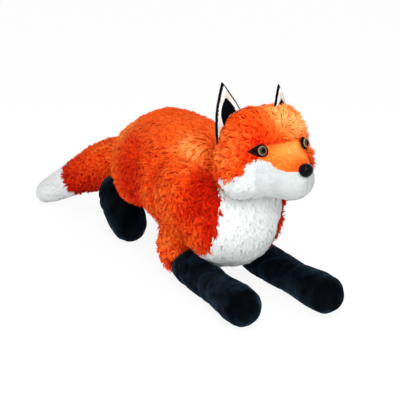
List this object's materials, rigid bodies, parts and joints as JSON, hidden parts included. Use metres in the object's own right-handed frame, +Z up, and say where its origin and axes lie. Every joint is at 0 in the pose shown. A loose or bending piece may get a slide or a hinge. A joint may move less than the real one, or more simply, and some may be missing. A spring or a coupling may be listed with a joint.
{
  "type": "plush fox",
  "caption": "Large lying plush fox with outstretched forelegs, a turned head, upright ears and a long tail with a pale tip, sewn from long and short pile over fibre fill.",
  "frame": {"origin": "middle of the whole toy's footprint, on the floor it lies on", "axes": "+X from the tail toward the forepaws, +Y toward the fox's left side, +Z up"},
  "size_m": [0.7616, 0.2636, 0.3353],
  "materials": {
    "orange_plush": "long crimped polyester pile",
    "short_pile_plush": "short polyester pile",
    "white_plush": "dense white polyester pile",
    "cream_plush": "short cream pile",
    "black_velour": "black velour, soft sheen",
    "fibre_fill": "loose polyester fibre",
    "felt": "dark felt",
    "thread": "embroidery thread",
    "amber_plastic": "clear dome over an amber iris",
    "black_plastic": "gloss",
    "washer_plastic": "plain"
  },
  "bodies": {
    "torso": {"back_cover": "orange_plush", "chest_cover": "white_plush", "belly_cover": "white_plush", "body_stuffing": "fibre_fill", "upper_arm_right": "orange_plush", "upper_arm_stuffing_right": "fibre_fill", "haunch_right": "orange_plush", "haunch_stuffing_right": "fibre_fill", "upper_arm_left": "orange_plush", "upper_arm_stuffing_left": "fibre_fill", "haunch_left": "orange_plush", "haunch_stuffing_left": "fibre_fill"},
    "head": {"head_cover": "orange_plush", "muzzle_top_cover": "short_pile_plush", "cheek_jaw_cover": "white_plush", "head_stuffing": "fibre_fill", "eye_right": "amber_plastic", "eye_washer_right": "washer_plastic", "eye_patch_right": "felt", "eye_left": "amber_plastic", "eye_washer_left": "washer_plastic", "eye_patch_left": "felt", "nose": "black_plastic", "nose_washer": "washer_plastic", "mouth_stitch": "thread", "ear_back_right": "black_velour", "ear_lining_right": "cream_plush", "ear_patch_right": "black_velour", "ear_back_left": "black_velour", "ear_lining_left": "cream_plush", "ear_patch_left": "black_velour"},
    "tail": {"tail_cover": "orange_plush", "tail_tip_cover": "white_plush", "tail_stuffing": "fibre_fill"},
    "foreleg_right": {"foreleg_right": "black_velour", "foreleg_stuffing_right": "fibre_fill"},
    "foreleg_left": {"foreleg_left": "black_velour", "foreleg_stuffing_left": "fibre_fill"},
    "hind_foot_right": {"hind_foot_right": "black_velour", "hind_foot_stuffing_right": "fibre_fill"},
    "hind_foot_left": {"hind_foot_left": "black_velour", "hind_foot_stuffing_left": "fibre_fill"}
  },
  "joints": [
    {"name": "neck_turn", "type": "hinge", "parent": "torso", "child": "head", "pos_m": [0.22678, 0.02997, 0.18], "axis": [0, 0, 1], "range_deg": [-20, 10]},
    {"name": "tail_swing", "type": "hinge", "parent": "torso", "child": "tail", "pos_m": [-0.19622, -0.00103, 0.118], "axis": [0, 0, 1], "range_deg": [-20, 20]},
    {"name": "foreleg_right_swing", "type": "hinge", "parent": "torso", "child": "foreleg_right", "pos_m": [0.12778, -0.03203, 0.035], "axis": [0, 0, -1], "range_deg": [0, 25]},
    {"name": "foreleg_left_swing", "type": "hinge", "parent": "torso", "child": "foreleg_left", "pos_m": [0.13978, 0.08397, 0.035], "axis": [0, 0, 1], "range_deg": [0, 25]},
    {"name": "hind_foot_right_swing", "type": "hinge", "parent": "torso", "child": "hind_foot_right", "pos_m": [-0.11822, -0.04503, 0.07], "axis": [0, 0, -1], "range_deg": [0, 20]},
    {"name": "hind_foot_left_swing", "type": "hinge", "parent": "torso", "child": "hind_foot_left", "pos_m": [-0.11822, 0.08297, 0.07], "axis": [0, 0, 1], "range_deg": [0, 20]}
  ]
}
